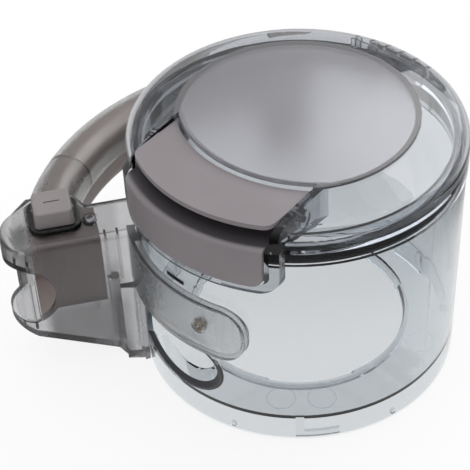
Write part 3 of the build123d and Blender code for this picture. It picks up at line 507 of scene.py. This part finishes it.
def metal(name, bright, film, polish, strength=0.10):
    """Bare metal with drawing lines and a thin film."""
    made, tree, shader = new_material(name)
    set_inputs(shader, Metallic=1.0)
    skin = placed(tree, drawn_metal, Bright=bright + (1,), Film=film + (1,), Polish=polish)
    cover(tree, shader, skin, strength, metal_relief)
    return made


finish_of = {
    "bin_body": clear_plastic(
        "clear_bin_wall", tint=(0.785, 0.81, 0.825), smoke=(0.50, 0.54, 0.57), density=90.0,
        gloss=0.0, haze=0.02,
    ),
    "lid_shell": clear_plastic(
        "clear_lid", tint=(0.86, 0.87, 0.89), smoke=(0.50, 0.52, 0.55), density=130.0,
        gloss=0.0, haze=0.02, ripple=0.008, mirror=0.4,
    ),
    "lid_disc": clear_plastic(
        "hazy_disc", tint=(0.69, 0.683, 0.72), smoke=(0.50, 0.52, 0.57), density=70.0,
        gloss=0.24, haze=0.27, flow_scale=14.0, ripple=0.0, clearness=0.8, mirror=0.8,
    ),
    # The housing's colour carries painted shade low down in the button's box.
    "front_housing": frosted_housing(
        "clear_housing", clear_tint=(0.89, 0.89, 0.895), frosted_tint=(0.73, 0.725, 0.73),
        clear=0.26, frosted=0.18, smoke=(0.50, 0.51, 0.53), density=75.0, ripple=0.05,
    ),
    "grip_cover": clear_plastic(
        "clear_grip_cover", tint=(0.95, 0.95, 0.945), smoke=(0.60, 0.60, 0.60), density=40.0,
        gloss=0.18, haze=0.26,
    ),
    "button_bezel": clear_plastic(
        "dark_bezel", tint=(0.80, 0.80, 0.83), smoke=(0.50, 0.51, 0.55), density=110.0,
        gloss=0.05, haze=0.12,
    ),
    # The latch's hollow tone is painted shade in its finger hollow.
    "latch_lever": latch_plastic_with_painted_shade(
        "latch_taupe", tone=(0.234, 0.211, 0.223), worn_tone=(0.275, 0.252, 0.264),
        hollow_shade_tone=(0.064, 0.059, 0.064), satin=0.40,
    ),
    "handle_grip": satin_plastic(
        "grip_taupe", tone=(0.277, 0.221, 0.209), worn_tone=(0.326, 0.267, 0.253), satin=0.50,
    ),
    "release_button": satin_plastic(
        "button_taupe", tone=(0.26, 0.235, 0.235), worn_tone=(0.31, 0.285, 0.285), satin=0.38,
    ),
    "release_slide": satin_plastic(
        "slide_taupe", tone=(0.20, 0.18, 0.18), worn_tone=(0.25, 0.23, 0.23), satin=0.50,
    ),
    "lid_seal": satin_plastic(
        "lid_seal_rubber", tone=(0.012, 0.012, 0.013), worn_tone=(0.03, 0.03, 0.032), satin=0.55,
        grain_scale=1500.0,
    ),
    "inlet_seal": satin_plastic(
        "inlet_seal_rubber", tone=(0.055, 0.058, 0.065), worn_tone=(0.10, 0.10, 0.108), satin=0.60,
        grain_scale=1500.0,
    ),
    "fill_mark": satin_plastic(
        "mark_ink", tone=(0.012, 0.012, 0.014), worn_tone=(0.03, 0.03, 0.034), satin=0.50,
        grain_scale=3200.0,
    ),
    "arm_insert": metal(
        "insert_brass", bright=(0.80, 0.62, 0.36), film=(0.50, 0.36, 0.20), polish=0.22,
    ),
    # Painted shade: the housing screw's zinc is darker than the wall screws', for the shade of its
    # recess.
    "housing_screw": metal(
        "screw_zinc", bright=(0.40, 0.40, 0.42), film=(0.18, 0.18, 0.20), polish=0.32,
    ),
    "wall_screws": metal(
        "wall_screw_zinc", bright=(0.64, 0.64, 0.66), film=(0.36, 0.36, 0.38), polish=0.26,
    ),
    "hinge_pin": metal(
        "hinge_pin_steel", bright=(0.60, 0.60, 0.62), film=(0.40, 0.40, 0.42), polish=0.18,
    ),
    "latch_pins": metal(
        "latch_pin_steel", bright=(0.60, 0.60, 0.62), film=(0.40, 0.40, 0.42), polish=0.20,
    ),
    "latch_spring": metal(
        "latch_spring_wire", bright=(0.55, 0.55, 0.57), film=(0.33, 0.33, 0.35), polish=0.24,
    ),
    "release_spring": metal(
        "release_spring_wire", bright=(0.55, 0.55, 0.57), film=(0.33, 0.33, 0.35), polish=0.24,
    ),
}
for name, finish in finish_of.items():
    nodes[name].data.materials.clear()
    nodes[name].data.materials.append(finish)


# Small fittings, modelled once and copied.


def edit(piece):
    """Edit mode on one piece, with its faces as the selection mode and nothing selected."""
    deselect()
    piece.select_set(True)
    bpy.context.view_layer.objects.active = piece
    bpy.ops.object.mode_set(mode="EDIT")
    bpy.ops.mesh.select_mode(type="FACE")
    bpy.ops.mesh.select_all(action="DESELECT")


def pick_faces(piece, direction):
    """Selects the faces that face this way, and no others."""
    shape = bmesh.from_edit_mesh(piece.data)
    for face in shape.faces:
        face.select = face.normal.dot(direction) > facing_limit
    bmesh.update_edit_mesh(piece.data)


def pull(step, scale=1.0):
    """Extrudes the picked faces along Z, then draws the new end in or out."""
    bpy.ops.mesh.extrude_region_move(TRANSFORM_OT_translate={"value": (0, 0, step)})
    bpy.ops.transform.resize(value=(scale, scale, 1))


def recess_cutter():
    """Tapered square that cuts the driver's recess, drawn out from its core to all four sides."""
    deselect()
    bpy.ops.mesh.primitive_cube_add(size=recess_core, location=(0, 0, screw_head_height))
    cutter = bpy.context.object
    edit(cutter)
    for turn in range(4):
        side = radial(90 * turn)
        pick_faces(cutter, side)
        bpy.ops.mesh.extrude_region_move(TRANSFORM_OT_translate={"value": side * recess_reach})
    pick_faces(cutter, Vector((0, 0, -1)))
    pull(recess_core / 2 - recess_depth, recess_taper)
    bpy.ops.object.mode_set(mode="OBJECT")
    return cutter


def pan_screw(name, length):
    """Pan head screw: its head stands on z = 0 and its threaded shank runs down."""
    deselect()
    rim = screw_head_height * screw_rim_share
    bpy.ops.mesh.primitive_cylinder_add(
        vertices=screw_sides, radius=screw_head_radius, depth=rim, location=(0, 0, rim / 2)
    )
    screw = bpy.context.object
    screw.name = name
    bpy.ops.object.transform_apply(location=True, rotation=True, scale=True)
    edit(screw)
    pick_faces(screw, Vector((0, 0, 1)))
    for step, scale in screw_crown_steps:
        pull(screw_head_height * step, scale)
    pick_faces(screw, Vector((0, 0, -1)))
    bpy.ops.mesh.inset(thickness=screw_head_radius - screw_radius)
    root = 1 - thread_depth / screw_radius
    turns = int(length / thread_pitch) - 1
    for turn in range(turns):
        pull(-thread_pitch / 2, root)
        pull(-thread_pitch / 2, 1 / root)
    pull(turns * thread_pitch - length, screw_tip_share)
    bpy.ops.object.mode_set(mode="OBJECT")
    cutter = recess_cutter()
    recess = screw.modifiers.new("driver_recess", "BOOLEAN")
    recess.operation = "DIFFERENCE"
    recess.object = cutter
    deselect()
    screw.select_set(True)
    bpy.context.view_layer.objects.active = screw
    bpy.ops.object.modifier_apply(modifier=recess.name)
    bpy.data.objects.remove(cutter, do_unlink=True)
    bpy.ops.object.shade_smooth_by_angle(angle=screw_smooth_angle)
    return screw


def copy_of(piece, name):
    """The piece again, with a mesh of its own."""
    copied = piece.copy()
    copied.data = piece.data.copy()
    copied.name = name
    bpy.context.scene.collection.objects.link(copied)
    return copied


def settle(piece, place, facing):
    """Puts a piece's place into its mesh, with its own +Z turned to face this way."""
    turn = Vector(facing).to_track_quat("Z", "Y").to_matrix().to_4x4()
    piece.data.transform(Matrix.Translation(place) @ turn)


def join(pieces, name):
    """One piece made of several."""
    deselect()
    for piece in pieces:
        piece.select_set(True)
    bpy.context.view_layer.objects.active = pieces[0]
    bpy.ops.object.join()
    pieces[0].name = name
    return pieces[0]


def dress(piece, body, finish):
    """Gives a new piece its body and its finish."""
    piece.data.materials.clear()
    piece.data.materials.append(finish)
    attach(piece, body)


def make_housing_screw():
    """The screw in the top of the front housing."""
    low, high = (Vector(corner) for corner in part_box("housing_screw"))
    middle = (low + high) / 2
    screw = pan_screw("housing_cross_screw", housing_screw_length)
    settle(screw, (middle.x, middle.y, high.z - screw_head_height), (0, 0, 1))
    dress(screw, "bin", finish_of["housing_screw"])
    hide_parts("housing_screw")


def make_wall_screws():
    """Screws from inside the bin through its wall, into the arm and the rear of the handle."""
    arm_screw = pan_screw("wall_cross_screws", arm_screw_length)
    rear_screw = pan_screw("rear_cross_screw", rear_screw_length)
    set_of_three = [arm_screw, rear_screw, copy_of(rear_screw, "second_rear_cross_screw")]
    for screw, (azimuth, height) in zip(set_of_three, (arm_screw_place,) + rear_screw_places):
        place = radial(azimuth) * (bin_bore - screw_seat_gap) + Vector((0, 0, height))
        settle(screw, place, -radial(azimuth))
    screws = join(set_of_three, "wall_cross_screws")
    dress(screws, "bin", finish_of["wall_screws"])
    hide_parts("wall_screws")


def make_eject_marks():
    """Faint round marks that the mould's pins left on the floor ring."""
    deselect()
    bpy.ops.mesh.primitive_circle_add(
        vertices=eject_mark_sides, radius=eject_mark_radius, fill_type="NGON"
    )
    mark = bpy.context.object
    edit(mark)
    bpy.ops.mesh.select_all(action="SELECT")
    bpy.ops.mesh.inset(thickness=eject_mark_width)
    bpy.ops.mesh.delete(type="FACE")
    bpy.ops.mesh.select_all(action="SELECT")
    bpy.ops.mesh.extrude_region_move(TRANSFORM_OT_translate={"value": (0, 0, eject_mark_height)})
    bpy.ops.mesh.select_all(action="SELECT")
    bpy.ops.mesh.normals_make_consistent(inside=False)
    bpy.ops.object.mode_set(mode="OBJECT")
    lift = Vector((0, 0, floor_top + eject_mark_gap))
    for number, azimuth in enumerate(eject_mark_places, 1):
        copied = copy_of(mark, f"eject_mark_{number}")
        settle(copied, radial(azimuth) * eject_mark_reach + lift, (0, 0, 1))
        dress(copied, "bin", finish_of["bin_body"])
    bpy.data.objects.remove(mark, do_unlink=True)


def make_release_coil():
    """The button's spring, smoothed and fixed to the bin; it does not shorten when the button goes
    down.
    """
    coil = bpy.data.objects.new("release_coil", nodes["release_spring"].data.copy())
    bpy.context.scene.collection.objects.link(coil)
    edit(coil)
    bpy.ops.mesh.select_all(action="SELECT")
    bpy.ops.mesh.remove_doubles(threshold=merge_distance)
    bpy.ops.object.mode_set(mode="OBJECT")
    bpy.ops.object.shade_smooth_by_angle(angle=coil_smooth_angle)
    dress(coil, "bin", finish_of["release_spring"])
    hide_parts("release_spring")
    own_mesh(coil)


make_housing_screw()
make_wall_screws()
make_eject_marks()
make_release_coil()


# Studio: pale paper, a dim room with a pale sweep behind the object, three soft boxes and the camera.


def make_floor():
    """White paper with a faint shade; the gloss mirrors it dark, except near and behind the object."""
    deselect()
    bpy.ops.mesh.primitive_plane_add(size=paper_size, location=(0, 0, 0))
    floor = bpy.context.object
    floor.name = "studio_floor"
    made, tree, shader = new_material("pale_floor")
    tree.nodes.remove(shader)
    place = object_coordinates(tree)
    reach = off_axis(tree, place)
    path = add_node(tree, "ShaderNodeLightPath")
    mirrored = reckon(tree, "GREATER_THAN", path.outputs["Glossy Depth"], mirrored_once)
    straight = minus(tree, 1.0, mirrored)
    behind = along(tree, place, away_from_camera)
    behind = remap(tree, behind, *paper_behind_rise, 0.0, paper_behind_level)
    near = larger(tree, behind, remap(tree, reach, *paper_near_fade, 1.0, 0.0))
    shaded = remap(tree, reach, *paper_shade_fade, paper_shade, 0.0)
    for_eye = times(tree, path.outputs["Is Camera Ray"], minus(tree, 1.0, shaded))
    through = times(tree, path.outputs["Is Transmission Ray"], 1.0 - paper_shade)
    shown = plus(tree, for_eye, times(tree, straight, through))
    shown = plus(tree, shown, times(tree, mirrored, near), clamp=True)
    far = times(tree, mirrored, minus(tree, 1.0, near))
    paper = add_node(tree, "ShaderNodeBsdfDiffuse")
    feed(tree, remap(tree, far, 0.0, 1.0, paper_tone, paper_dark_tone), paper.inputs["Color"])
    white = add_node(tree, "ShaderNodeEmission")
    mix = add_node(tree, "ShaderNodeMixShader")
    feed(tree, shown, mix.inputs[0])
    feed(tree, paper.outputs[0], mix.inputs[1])
    feed(tree, white.outputs[0], mix.inputs[2])
    feed(tree, mix.outputs[0], tree.nodes["Material Output"].inputs["Surface"])
    floor.data.materials.append(made)


def make_room():
    """Dim walls, a bright ceiling and the sweep; the camera sees all of it white."""
    room = bpy.data.worlds.new("studio_room")
    bpy.context.scene.world = room
    room.use_nodes = True
    tree = room.node_tree
    back = tree.nodes["Background"]
    path = add_node(tree, "ShaderNodeLightPath")
    direction = add_node(tree, "ShaderNodeTexCoord").outputs["Generated"]
    height = upward(tree, direction)
    walls = remap(tree, height, *room_ceiling_rise, room_wall_level, room_ceiling_level)
    behind = along(tree, direction, away_from_camera)
    sweep = remap(tree, behind, *room_sweep_rise, 0.0, room_sweep_level)
    sweep = times(tree, sweep, remap(tree, height, *room_sweep_fade, 1.0, 0.0))
    straight = reckon(tree, "LESS_THAN", path.outputs["Glossy Depth"], mirrored_once)
    through = times(tree, path.outputs["Is Transmission Ray"], straight)
    through = times(tree, through, room_through_level)
    level = larger(tree, larger(tree, walls, sweep), through)
    feed(tree, larger(tree, level, path.outputs["Is Camera Ray"]), back.inputs["Strength"])
    set_inputs(back, Color=(1.0, 1.0, 1.0, 1))


def soft_box(name, place, target, width, height, power, mirrored=True):
    """A soft box; one that isn't mirrored lights the object and leaves no patch on the gloss."""
    lamp = bpy.data.lights.new(name, "AREA")
    lamp.shape = "RECTANGLE"
    lamp.size = width
    lamp.size_y = height
    lamp.energy = power
    stand = bpy.data.objects.new(name, lamp)
    bpy.context.scene.collection.objects.link(stand)
    stand.location = place
    stand.rotation_euler = (Vector(target) - Vector(place)).to_track_quat("-Z", "Y").to_euler()
    stand.visible_glossy = mirrored


def make_camera():
    lens = bpy.data.cameras.new("catalogue_view")
    lens.lens = camera_lens
    lens.sensor_width = camera_sensor
    stand = bpy.data.objects.new("catalogue_view", lens)
    bpy.context.scene.collection.objects.link(stand)
    stand.location = camera_place
    stand.rotation_euler = tuple(radians(turn) for turn in camera_turn)
    bpy.context.scene.camera = stand


make_floor()
make_room()
soft_box("back_box", place=(0.25, 1.40, 1.25), target=(0, 0, 0.10), width=2.4, height=1.1, power=19.0)
soft_box(
    "top_box", place=(-0.25, -0.20, 1.50), target=(0, 0, 0.08), width=1.4, height=1.4, power=4.0,
    mirrored=False,
)
soft_box(
    "front_box", place=(0.90, -1.20, 0.90), target=(0, 0, 0.08), width=0.8, height=0.8, power=2.2,
    mirrored=False,
)
make_camera()
bpy.context.scene.view_settings.view_transform = "Standard"

bpy.context.view_layer.update()
